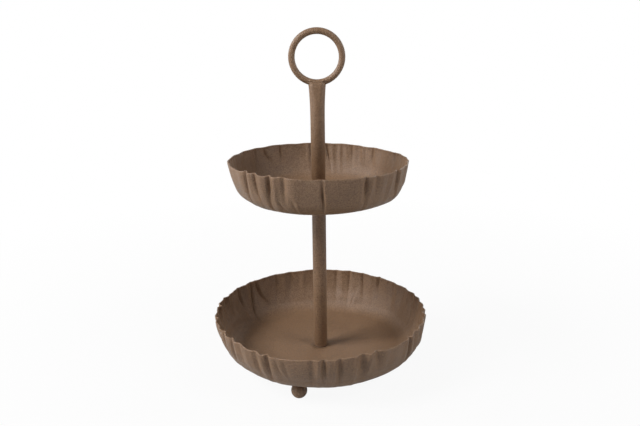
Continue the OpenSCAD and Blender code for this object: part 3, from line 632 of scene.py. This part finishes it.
def ring_tree(ring_r, rod_r, centre_z):
    """Ring of round rod, swept round a circle that stands in the XZ plane."""
    tree = Tree("ring_of_rod", {
        "Ring radius": ("NodeSocketFloat", ring_r),
        "Rod radius": ("NodeSocketFloat", rod_r),
        "Centre height": ("NodeSocketFloat", centre_z),
    })
    path = tree.node("GeometryNodeCurvePrimitiveCircle", {
        "Resolution": RING_POINTS, "Radius": tree.value("Ring radius")})
    rod = tree.node("GeometryNodeCurvePrimitiveCircle", {
        "Resolution": ROD_POINTS, "Radius": tree.value("Rod radius")})
    swept = tree.node("GeometryNodeCurveToMesh", {"Curve": path, "Profile Curve": rod})
    place = tree.node("ShaderNodeCombineXYZ", {"Z": tree.value("Centre height")})
    stood = tree.node("GeometryNodeTransform", {
        "Geometry": swept, "Translation": place, "Rotation": (math.pi / 2, 0, 0)})
    smooth = tree.node("GeometryNodeSetShadeSmooth", {"Geometry": stood})
    return tree, smooth


def feet_tree(ball_r, flat, circle_r, count, first_turn, centre_z):
    """Ball feet with small worn flats, set round a circle under the lower bowl."""
    tree = Tree("ball_feet", {
        "Ball radius": ("NodeSocketFloat", ball_r),
        "Worn flat": ("NodeSocketFloat", flat),
        "Circle radius": ("NodeSocketFloat", circle_r),
        "Feet": ("NodeSocketInt", count),
        "First direction": ("NodeSocketFloat", first_turn),
        "Centre height": ("NodeSocketFloat", centre_z),
    })
    ball = tree.node("GeometryNodeMeshUVSphere", {
        "Segments": BALL_POINTS, "Rings": BALL_POINTS * 3 // 4, "Radius": tree.value("Ball radius")})
    spot = tree.node("GeometryNodeInputPosition")
    parts = tree.node("ShaderNodeSeparateXYZ", {0: spot}).socket.node.outputs
    x, y, z = (Term(tree.group, parts[axis]) for axis in "XYZ")
    flat_z = tree.value("Worn flat") - tree.value("Ball radius")
    place = tree.node("ShaderNodeCombineXYZ", {"X": x, "Y": y, "Z": z.math("MAXIMUM", flat_z)})
    ball = tree.node("GeometryNodeSetPosition", {"Geometry": ball, "Position": place})
    circle = tree.node("GeometryNodeMeshCircle", {
        "Vertices": tree.value("Feet"), "Radius": tree.value("Circle radius")})
    lifted = tree.node("ShaderNodeCombineXYZ", {"Z": tree.value("Centre height")})
    turned = tree.node("ShaderNodeCombineXYZ", {"Z": tree.value("First direction")})
    circle = tree.node("GeometryNodeTransform", {
        "Geometry": circle, "Translation": lifted, "Rotation": turned})
    feet = tree.node("GeometryNodeInstanceOnPoints", {"Points": circle, "Instance": ball})
    smooth = tree.node("GeometryNodeSetShadeSmooth", {"Geometry": feet})
    return tree, smooth


def thread_tree(bottom_z, top_z, major_r, turn_rise):
    """Threaded rod: a core with one helical ridge wound round it from bottom to top."""
    tree = Tree("threaded_rod", {
        "Bottom": ("NodeSocketFloat", bottom_z),
        "Length": ("NodeSocketFloat", top_z - bottom_z),
        "Major radius": ("NodeSocketFloat", major_r),
        "Pitch": ("NodeSocketFloat", turn_rise),
    })
    bottom, tall, pitch = (tree.value(label) for label in ("Bottom", "Length", "Pitch"))
    depth = pitch * THREAD_DEPTH
    core_r = tree.value("Major radius") - depth
    middle_r = core_r + depth * RIDGE_MIDDLE
    rise = tall - pitch
    helix = tree.node("GeometryNodeCurveSpiral", {
        "Resolution": TURN_POINTS, "Rotations": rise.math("DIVIDE", pitch),
        "Start Radius": middle_r, "End Radius": middle_r, "Height": rise})
    ridge = tree.node("GeometryNodeCurvePrimitiveCircle", {
        "Resolution": 4, "Radius": depth * RIDGE_RADIUS})
    swept = tree.node("GeometryNodeCurveToMesh", {
        "Curve": helix, "Profile Curve": ridge, "Fill Caps": True})
    lift = tree.node("ShaderNodeCombineXYZ", {"Z": bottom + pitch * 0.5})
    swept = tree.node("GeometryNodeTransform", {"Geometry": swept, "Translation": lift})
    core = tree.node("GeometryNodeMeshCylinder", {
        "Vertices": STUD_POINTS, "Radius": core_r, "Depth": tall})
    lift = tree.node("ShaderNodeCombineXYZ", {"Z": bottom + tall * 0.5})
    core = tree.node("GeometryNodeTransform", {"Geometry": core, "Translation": lift})
    joined = tree.group.nodes.new("GeometryNodeJoinGeometry")
    for part in (core, swept):
        tree.group.links.new(part.socket, joined.inputs[0])
    return tree, Term(tree.group, joined.outputs[0])


# Handle tube and weld
# Points round the handle tube, steps up its flare and how late the flare sets in
TUBE_POINTS = 112
FLARE_STEPS = 44
FLARE_POWER = 2.5
# How far the mouth keeps from the rod's underside, and its last level ring lies below the rod
ROD_CLEARANCE = 0.1 * MM
LEVEL_DROP = 1.5 * MM

# The solids that melt into the weld. The beads lie nearer the ring's centre than the rod's middle, and
# nearer its plane than the middle of the tube's wall. Beads and rod reach round the ring by shares of
# the mouth's half angle. Rod and plug are thinner by a skin than the ring's rod and the tube.
BEAD_RISE = 1.4 * MM
BEAD_INSET = 0.7 * MM
BEAD_REACH = 0.9
ROD_REACH = 1.55
SKIN = 0.06 * MM
# The plug fills the tube's mouth, from below the rod's middle at the foot of the ring to above it
PLUG_BELOW = 12 * MM
PLUG_ABOVE = 2.0 * MM
PLUG_STEPS = 20
# Points round a bead and along it
BEAD_POINTS = 48
BEAD_STEPS = 40
# Voxels of the melt, and strength and passes of its smoothing
MELT_VOXEL = 0.35 * MM
FLOW_FACTOR = 0.5
FLOW_PASSES = 26


def ring_measures():
    """Radius of the ring's middle line, radius of its rod and height of its centre."""
    rod_r = span("handle_ring", 1) / 2
    ring_r = span("handle_ring", 0) / 2 - rod_r
    ring_z = (low("handle_ring").z + high("handle_ring").z) / 2
    return ring_r, rod_r, ring_z


def tube_measures(sizes):
    """Radius of the round tube, and half the depth of its mouth, which clasps the ring."""
    tube_r = span("lower_stem", 0) / 2
    half_mouth = span("handle_ring", 1) / 2 + sizes.mouth_gap + sizes.tube_wall
    return tube_r, half_mouth


def tube_outline(share, inset, tube_r, half_mouth):
    """Outline of the handle tube, from round to a flat-sided bar that keeps its length round."""
    half_depth = tube_r + (half_mouth - tube_r) * share - inset
    half_flat = math.pi / 2 * (tube_r - half_mouth) * share
    az = (np.arange(TUBE_POINTS) + 0.5) * 2 * math.pi / TUBE_POINTS
    side = np.where(np.cos(az) > 0, 1.0, -1.0)
    return np.stack([side * half_flat + half_depth * np.cos(az), half_depth * np.sin(az)], -1)


def flare_share(z, top_z, flare):
    """How far the handle tube is pressed flat at a height, from 0 below its flare to 1 at its top."""
    return min(1.0, max(0.0, (z - (top_z - flare)) / flare) ** FLARE_POWER)


def handle_tube_rings(sizes):
    """Rings of the handle tube: outside up to the mouth, round its edge and inside down again."""
    foot_z = low("handle_tube").z
    ring_r, rod_r, ring_z = ring_measures()
    tube_r, half_mouth = tube_measures(sizes)
    top_z = ring_z - ring_r
    inside = tube_outline(1, sizes.tube_wall, tube_r, half_mouth)
    reach = np.sqrt(ring_r ** 2 - inside[:, 0] ** 2)
    under = np.sqrt(np.maximum(0, (rod_r + ROD_CLEARANCE) ** 2 - inside[:, 1] ** 2))
    edge_z = ring_z - reach - under * ring_r / reach

    def ring_at(z, inset):
        """Level ring at a height, inside the tube's outer face by an inset."""
        return at_height(tube_outline(flare_share(z, top_z, sizes.flare), inset, tube_r, half_mouth), z)

    def mouth(inset, drop):
        """Ring along the saddle of the mouth, below its edge by a drop."""
        return at_height(tube_outline(1, inset, tube_r, half_mouth), edge_z - drop)

    first_z = top_z - sizes.flare
    last_z = top_z - rod_r - LEVEL_DROP
    heights = [first_z + (last_z - first_z) * k / FLARE_STEPS for k in range(FLARE_STEPS + 1)]
    wall = sizes.tube_wall
    edge = MOUTH_EDGE
    rings = [ring_at(foot_z, edge), ring_at(foot_z + edge, 0)]
    rings += [ring_at(z, 0) for z in heights]
    rings += [mouth(0, edge), mouth(edge, 0), mouth(wall - edge, 0), mouth(wall, edge)]
    rings += [ring_at(z, wall) for z in heights[::-1]]
    rings += [ring_at(foot_z + edge, wall), ring_at(foot_z, wall - edge)]
    return rings


def bead_rings(radius, offset_y, thick, half_angle):
    """Rings of a rod that lies along the bottom of the ring, beside its plane by an offset."""
    ring_z = ring_measures()[2]
    turn = np.arange(BEAD_POINTS)[:, None] * 2 * math.pi / BEAD_POINTS
    across = np.array([0, 1, 0])
    rings = []
    for angle in np.linspace(-half_angle, half_angle, BEAD_STEPS):
        out = np.array([math.sin(angle), 0, -math.cos(angle)])
        centre = np.array([radius * math.sin(angle), offset_y, ring_z - radius * math.cos(angle)])
        rings.append(centre + thick * (np.cos(turn) * out + np.sin(turn) * across))
    return rings


def plug_rings(sizes):
    """Rings of the plug that fills the mouth of the handle tube."""
    ring_r, rod_r, ring_z = ring_measures()
    tube_r, half_mouth = tube_measures(sizes)
    top_z = ring_z - ring_r
    rings = []
    for z in np.linspace(top_z - PLUG_BELOW, top_z + PLUG_ABOVE, PLUG_STEPS):
        share = flare_share(z, top_z, sizes.flare)
        rings.append(at_height(tube_outline(share, SKIN, tube_r, half_mouth), z))
    return rings


def weld_body(sizes):
    """Weld between tube and ring: beads, rod and tube end are melted together and smoothed."""
    ring_r, rod_r, ring_z = ring_measures()
    tube_r, half_mouth = tube_measures(sizes)
    mouth_w = half_mouth + math.pi / 2 * (tube_r - half_mouth)
    half_angle = math.asin(mouth_w / ring_r)
    bead_y = rod_r + sizes.mouth_gap + sizes.tube_wall / 2 - BEAD_INSET
    solids = [bead_rings(ring_r, 0, rod_r - SKIN, half_angle * ROD_REACH)]
    for side in (-1, 1):
        solids.append(bead_rings(ring_r - BEAD_RISE, side * bead_y, sizes.bead / 2, half_angle * BEAD_REACH))
    solids.append(plug_rings(sizes))
    points = []
    faces = []
    for rings in solids:
        spots, rows = capped_loft(rings)
        faces += [tuple(i + len(points) for i in row) for row in rows]
        points += list(spots)
    obj = mesh_object("ring_weld_bead", points, faces)
    melt = obj.modifiers.new("melt", "REMESH")
    melt.mode = "VOXEL"
    melt.voxel_size = MELT_VOXEL
    flow = obj.modifiers.new("flow", "SMOOTH")
    flow.factor = FLOW_FACTOR
    flow.iterations = FLOW_PASSES
    settle(obj)
    obj.data.polygons.foreach_set("use_smooth", [True] * len(obj.data.polygons))
    return obj


# Operators
class ETAGERE_OT_bowls(bpy.types.Operator):
    """Make the two crinkled bowls."""

    bl_idname = "etagere.bowls"
    bl_label = "Bowls"

    def execute(self, context):
        sizes = context.scene.etagere_bowls
        lower = bowl("lower_bowl_sheet", low("lower_tray").z, sizes.lower_rim, sizes.lower_depth,
                     sizes.lower_floor, sizes.lower_corner, sizes.lower_bow,
                     LOWER_FOLDS, LOWER_BULGES, LOWER_RIM, sizes)
        dress(lower, "coat", "stand", "lower_tray")
        upper = bowl("upper_bowl_sheet", low("upper_tray").z, sizes.upper_rim, sizes.upper_depth,
                     sizes.upper_floor, sizes.upper_corner, sizes.upper_bow,
                     UPPER_FOLDS, UPPER_BULGES, UPPER_RIM, sizes)
        dress(upper, "coat", "upper_bowl", "upper_tray")
        return {"FINISHED"}


class ETAGERE_OT_post(bpy.types.Operator):
    """Make the two tubes of the post and the washers at their ends."""

    bl_idname = "etagere.post"
    bl_label = "Post"

    def execute(self, context):
        sizes = context.scene.etagere_post
        tube_r = span("lower_stem", 0) / 2
        outline = rounded_ring_outline(tube_r - sizes.tube_wall, tube_r, low("lower_stem").z,
                                       high("lower_stem").z, TUBE_EDGE)
        dress(revolve("lower_post_tube", outline), "coat", "stand", "lower_stem")
        rings = handle_tube_rings(sizes)
        faces = loft_faces(len(rings), TUBE_POINTS, closed=True)
        tube = face_outwards(mesh_object("handle_post_tube", np.concatenate(rings), faces))
        dress(tube, "coat", "handle", "handle_tube", finish="smooth_coat")
        hole_r = context.scene.etagere_bowls.hole / 2
        washers = {"lower_gasket": "stand", "upper_gasket": "stand", "handle_gasket": "handle_seat"}
        for node, body in washers.items():
            outline = rounded_ring_outline(hole_r, span(node, 0) / 2, low(node).z, high(node).z, WASHER_EDGE)
            dress(revolve(node + "_washer", outline), "washer_rubber", body, node)
        return {"FINISHED"}


class ETAGERE_OT_handle(bpy.types.Operator):
    """Make the ring handle and the weld that joins it to its tube."""

    bl_idname = "etagere.handle"
    bl_label = "Ring handle"

    def execute(self, context):
        tree, shape = ring_tree(*ring_measures())
        ring = tree.build("ring_handle_rod", shape, finish_of("smooth_coat"))
        dress(face_outwards(ring), "coat", "handle", "handle_ring", finish="smooth_coat")
        weld = weld_body(context.scene.etagere_post)
        dress(weld, "coat", "handle", "ring_weld", finish="smooth_coat")
        return {"FINISHED"}


class ETAGERE_OT_feet(bpy.types.Operator):
    """Make the three ball feet, and give their weld necks the coat."""

    bl_idname = "etagere.feet"
    bl_label = "Ball feet"

    def execute(self, context):
        nodes = ["foot_ball_front", "foot_ball_right", "foot_ball_left"]
        first = (low(nodes[0]) + high(nodes[0])) / 2
        ball_r = span(nodes[0], 0) / 2
        centre_z = high(nodes[0]).z - ball_r
        tree, shape = feet_tree(ball_r, ball_r - centre_z, math.hypot(first.x, first.y), len(nodes),
                                math.atan2(first.y, first.x), centre_z)
        balls = tree.build("ball_feet", shape, finish_of("coat"))
        dress(face_outwards(balls), "coat", "stand", *nodes)
        for node in ("foot_weld_front", "foot_weld_right", "foot_weld_left"):
            paint(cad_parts[node], "coat")
        return {"FINISHED"}


class ETAGERE_OT_hardware(bpy.types.Operator):
    """Make the stud's thread and give the hidden hardware its finish."""

    bl_idname = "etagere.hardware"
    bl_label = "Hardware"

    def execute(self, context):
        sizes = context.scene.etagere_post
        tree, shape = thread_tree(low("centre_stud").z, high("centre_stud").z,
                                  span("centre_stud", 0) / 2, sizes.thread_pitch)
        stud = tree.build("stud_thread", shape, finish_of("bare_steel"))
        dress(stud, "bare_steel", "stand", "centre_stud")
        for node in ("stem_bottom_plug", "stem_top_plug", "handle_plug", "base_bolt", "base_washer"):
            paint(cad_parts[node], "bare_steel")
        return {"FINISHED"}


# Studio
# Half the side of the floor, in metres
FLOOR_HALF = 6.0
# Share of the white background that mirrored rays see in the floor and in the world
FLOOR_MIRRORED = 0.2
WORLD_MIRRORED = 0.4
# The floor's own tone shows near the object and fades to white between two distances in metres
FADE_START = 0.15
FADE_END = 0.9
WHITE_NEAR = 0.93
WHITE_FAR = 1.0
# Strength of the world's light, and of the white that stands for the background
WORLD_LIGHT = 0.01
WHITE = 1.0
# Softboxes as [name, direction and height in degrees, side in metres, power in watts]. All point at a
# height on the post from the same distance
SOFTBOXES = [
    ["key_softbox", 201, 41, 1.0, 62.0],
    ["side_softbox", 198, 8, 0.8, 13.0],
    ["fill_softbox", 330, 41, 1.0, 20.0],
    ["low_softbox", 348, 8, 0.8, 8.5],
    ["back_softbox", 60, 17, 1.2, 10.0],
    ["rim_softbox", 135, 15, 1.0, 8.0]]
AIM_Z = 0.16
AWAY = 2.5
# Camera: width of the photograph and focal length in its pixels, pitch and roll in degrees
IMAGE_W = 640
FOCAL_PX = 678.4
PITCH = 16.26
ROLL = -0.78
SENSOR_W = 36.0
NEAR_CLIP = 0.01
# The eye, from the middle of the lower bowl's rim
EYE_RIGHT = 1.4 * MM
EYE_AWAY = 840.7 * MM
EYE_ABOVE = 380.2 * MM


class ETAGERE_OT_stage(bpy.types.Operator):
    """Make the studio: a pale floor, soft lights and the camera of the photograph."""

    bl_idname = "etagere.stage"
    bl_label = "Stage"

    def execute(self, context):
        context.scene.view_settings.view_transform = "Standard"
        self.lay_floor(context.scene)
        self.light_world(context.scene)
        self.add_lights()
        self.add_camera(context.scene)
        return {"FINISHED"}

    def lay_floor(self, scene):
        """A pale floor that keeps the object's soft shadow and turns white away from it."""
        corners = [(x * FLOOR_HALF, y * FLOOR_HALF, 0) for x, y in ((-1, -1), (1, -1), (1, 1), (-1, 1))]
        floor = mesh_object("studio_floor", corners, [(0, 1, 2, 3)])
        material, tree = new_material("studio_floor", scene.etagere_finish.floor)
        seen = background_rays(tree, FLOOR_MIRRORED)
        plain = make(tree, "ShaderNodeBsdfDiffuse", {}, {"Color": opaque(scene.etagere_finish.floor)})
        white = make(tree, "ShaderNodeEmission", {}, {"Color": (1, 1, 1, 1), "Strength": WHITE})
        place = make(tree, "ShaderNodeTexCoord", output="Object")
        far = make(tree, "ShaderNodeVectorMath", {"operation": "LENGTH"}, {0: place}, output=1)
        fade = make(tree, "ShaderNodeMapRange", {}, {
            "Value": far, 1: FADE_START, 2: FADE_END, 3: WHITE_NEAR, 4: WHITE_FAR})
        surface = make(tree, "ShaderNodeMixShader", {}, {0: seen * fade, 1: plain, 2: white})
        make(tree, "ShaderNodeOutputMaterial", {}, {"Surface": surface})
        floor.data.materials.append(material)

    def light_world(self, scene):
        """A dim even studio that shows as white to the camera and as grey in reflections."""
        world = scene.world or bpy.data.worlds.new("studio")
        scene.world = world
        world.use_nodes = True
        tree = world.node_tree
        tree.nodes.clear()
        seen = background_rays(tree, WORLD_MIRRORED)
        dim = make(tree, "ShaderNodeBackground", {}, {"Color": (1, 1, 1, 1), "Strength": WORLD_LIGHT})
        white = make(tree, "ShaderNodeBackground", {}, {"Color": (1, 1, 1, 1), "Strength": WHITE})
        surface = make(tree, "ShaderNodeMixShader", {}, {0: seen, 1: dim, 2: white})
        make(tree, "ShaderNodeOutputWorld", {}, {"Surface": surface})

    def add_lights(self):
        """Softboxes: a key from the left, a fill from the right, low ones at the sides and two behind."""
        for name, direction, height, size, power in SOFTBOXES:
            light = bpy.data.lights.new(name, "AREA")
            light.shape = "SQUARE"
            light.size = size
            light.energy = power
            lamp = link(bpy.data.objects.new(name, light))
            turn = math.radians(direction)
            rise = math.radians(height)
            reach = Vector((math.cos(turn) * math.cos(rise), math.sin(turn) * math.cos(rise), math.sin(rise)))
            lamp.location = Vector((0, 0, AIM_Z)) + AWAY * reach
            lamp.rotation_euler = (-reach).to_track_quat("-Z", "Y").to_euler()

    def add_camera(self, scene):
        """Camera fitted to the photograph: height, distance, pitch and a slight roll."""
        camera = bpy.data.cameras.new("photo_camera")
        camera.sensor_width = SENSOR_W
        camera.lens = FOCAL_PX / IMAGE_W * SENSOR_W
        camera.clip_start = NEAR_CLIP
        eye = link(bpy.data.objects.new("photo_camera", camera))
        rim_z = low("lower_tray").z + scene.etagere_bowls.lower_depth
        place = Vector((EYE_RIGHT, -EYE_AWAY, rim_z + EYE_ABOVE))
        tilt = Matrix.Rotation(math.pi / 2 - math.radians(PITCH), 4, "X")
        turn = tilt @ Matrix.Rotation(math.radians(ROLL), 4, "Z")
        eye.matrix_world = Matrix.Translation(place) @ turn
        scene.camera = eye


class ETAGERE_PT_panel(bpy.types.Panel):
    """Lists the pieces of the etagere."""

    bl_idname = "ETAGERE_PT_panel"
    bl_label = "Etagere"
    bl_space_type = "VIEW_3D"
    bl_region_type = "UI"
    bl_category = "Etagere"

    def draw(self, context):
        for operator in OPERATORS:
            self.layout.operator(operator.bl_idname)
        for group in GROUPS:
            settings = getattr(context.scene, group)
            box = self.layout.box()
            for key in settings.__annotations__:
                box.prop(settings, key)


GROUPS = {"etagere_bowls": EtagereBowls, "etagere_post": EtagerePost, "etagere_finish": EtagereFinish}
OPERATORS = (ETAGERE_OT_bowls, ETAGERE_OT_post, ETAGERE_OT_handle, ETAGERE_OT_feet,
             ETAGERE_OT_hardware, ETAGERE_OT_stage)


def register():
    """Registers the classes and hangs their settings on the scene."""
    for kind in (*GROUPS.values(), *OPERATORS, ETAGERE_PT_panel):
        bpy.utils.register_class(kind)
    for name, kind in GROUPS.items():
        setattr(bpy.types.Scene, name, PointerProperty(type=kind))


def unregister():
    """Takes away what register added."""
    for name in GROUPS:
        delattr(bpy.types.Scene, name)
    for kind in (ETAGERE_PT_panel, *reversed(OPERATORS), *reversed(GROUPS.values())):
        bpy.utils.unregister_class(kind)


def main():
    register()
    bpy.ops.etagere.bowls()
    bpy.ops.etagere.post()
    bpy.ops.etagere.handle()
    bpy.ops.etagere.feet()
    bpy.ops.etagere.hardware()
    bpy.ops.etagere.stage()


if __name__ == "__main__":
    main()
